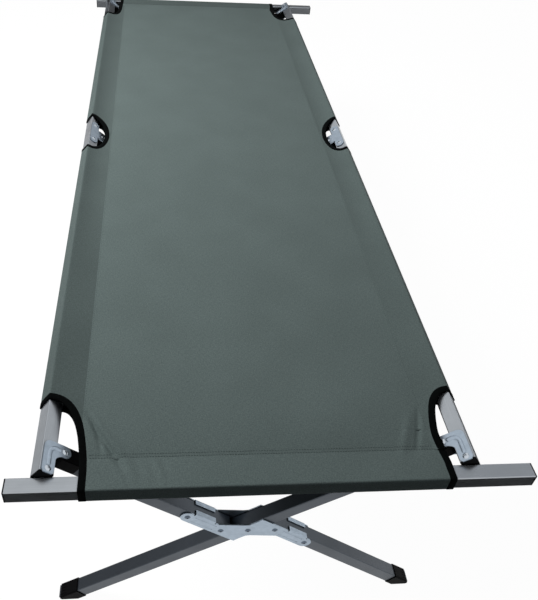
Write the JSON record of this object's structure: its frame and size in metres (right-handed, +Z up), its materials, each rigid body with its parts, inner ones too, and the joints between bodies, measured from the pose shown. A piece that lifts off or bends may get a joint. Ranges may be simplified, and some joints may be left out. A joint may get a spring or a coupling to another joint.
{
  "type": "folding camp cot",
  "caption": "Folding camp cot with a canvas deck on jointed side rails, scissor leg frames with pressed-steel pivot plates, and end bars that pull out of the deck's end pockets.",
  "frame": {"origin": "on the floor, under the middle of the end bars and halfway between the ends", "axes": "+X to the right across the bed as seen from the foot end, +Y along the bed from foot to head, +Z up"},
  "size_m": [0.764, 1.9826, 0.4622],
  "materials": {
    "anodised_aluminium": "satin clear-anodised extrusion",
    "zinc_plated_steel": "bluish zinc plate on pressed sheet",
    "bright_steel": "bright zinc plate",
    "black_nylon": "moulded, fine grain",
    "grey_green_canvas": "coated plain-weave polyester",
    "black_binding_tape": "woven tape, stitched"
  },
  "bodies": {
    "left_frame": {"left_rail_foot_half": "anodised_aluminium", "left_rail_head_half": "anodised_aluminium", "left_rail_plugs": "black_nylon", "left_rail_pins": "bright_steel", "left_foot_bracket_upper": "zinc_plated_steel", "left_foot_bracket_lower": "zinc_plated_steel", "left_head_bracket_upper": "zinc_plated_steel", "left_head_bracket_lower": "zinc_plated_steel", "left_hinge_plate_upper": "zinc_plated_steel", "left_hinge_plate_lower": "zinc_plated_steel", "left_rail_rivets": "bright_steel", "foot_upper_half_leg": "anodised_aluminium", "middle_upper_half_leg": "anodised_aluminium", "head_upper_half_leg": "anodised_aluminium", "foot_lower_half_leg": "anodised_aluminium", "middle_lower_half_leg": "anodised_aluminium", "head_lower_half_leg": "anodised_aluminium", "foot_scissor_plate_front": "zinc_plated_steel", "foot_scissor_plate_back": "zinc_plated_steel", "middle_scissor_plate_front": "zinc_plated_steel", "middle_scissor_plate_back": "zinc_plated_steel", "head_scissor_plate_front": "zinc_plated_steel", "head_scissor_plate_back": "zinc_plated_steel", "foot_scissor_rivets": "bright_steel", "middle_scissor_rivets": "bright_steel", "head_scissor_rivets": "bright_steel", "left_leg_tops": "black_nylon", "half_leg_boots": "black_nylon", "deck_panel": "grey_green_canvas", "left_sleeves": "grey_green_canvas", "foot_pocket": "grey_green_canvas", "head_pocket": "grey_green_canvas", "left_bindings": "black_binding_tape", "right_bindings": "black_binding_tape"},
    "right_frame": {"right_rail_foot_half": "anodised_aluminium", "right_rail_head_half": "anodised_aluminium", "right_rail_plugs": "black_nylon", "right_rail_pins": "bright_steel", "right_foot_bracket_upper": "zinc_plated_steel", "right_foot_bracket_lower": "zinc_plated_steel", "right_head_bracket_upper": "zinc_plated_steel", "right_head_bracket_lower": "zinc_plated_steel", "right_hinge_plate_upper": "zinc_plated_steel", "right_hinge_plate_lower": "zinc_plated_steel", "right_rail_rivets": "bright_steel", "foot_through_leg": "anodised_aluminium", "middle_through_leg": "anodised_aluminium", "head_through_leg": "anodised_aluminium", "right_leg_tops": "black_nylon", "through_leg_boots": "black_nylon", "right_sleeves": "grey_green_canvas"},
    "foot_bar": {"foot_bar": "anodised_aluminium", "foot_bar_caps": "black_nylon"},
    "head_bar": {"head_bar": "anodised_aluminium", "head_bar_caps": "black_nylon"}
  },
  "joints": [
    {"name": "frame_fold", "type": "hinge", "parent": "left_frame", "child": "right_frame", "pos_m": [-0.021, 0, 0.225], "axis": [0, -1, 0], "range_deg": [0, 96], "deforming": ["deck_panel", "left_sleeves", "foot_pocket", "head_pocket", "left_bindings", "right_bindings", "right_sleeves"]},
    {"name": "foot_bar_slide", "type": "slide", "parent": "left_frame", "child": "foot_bar", "axis": [0, -1, 0], "range_m": [0, 0.3352]},
    {"name": "head_bar_slide", "type": "slide", "parent": "left_frame", "child": "head_bar", "axis": [0, 1, 0], "range_m": [0, 0.3352]}
  ],
  "couplings": [
    {"joint": "foot_bar_slide", "follows": "frame_fold", "m_per_rad": 0.2},
    {"joint": "head_bar_slide", "follows": "frame_fold", "m_per_rad": 0.2}
  ]
}
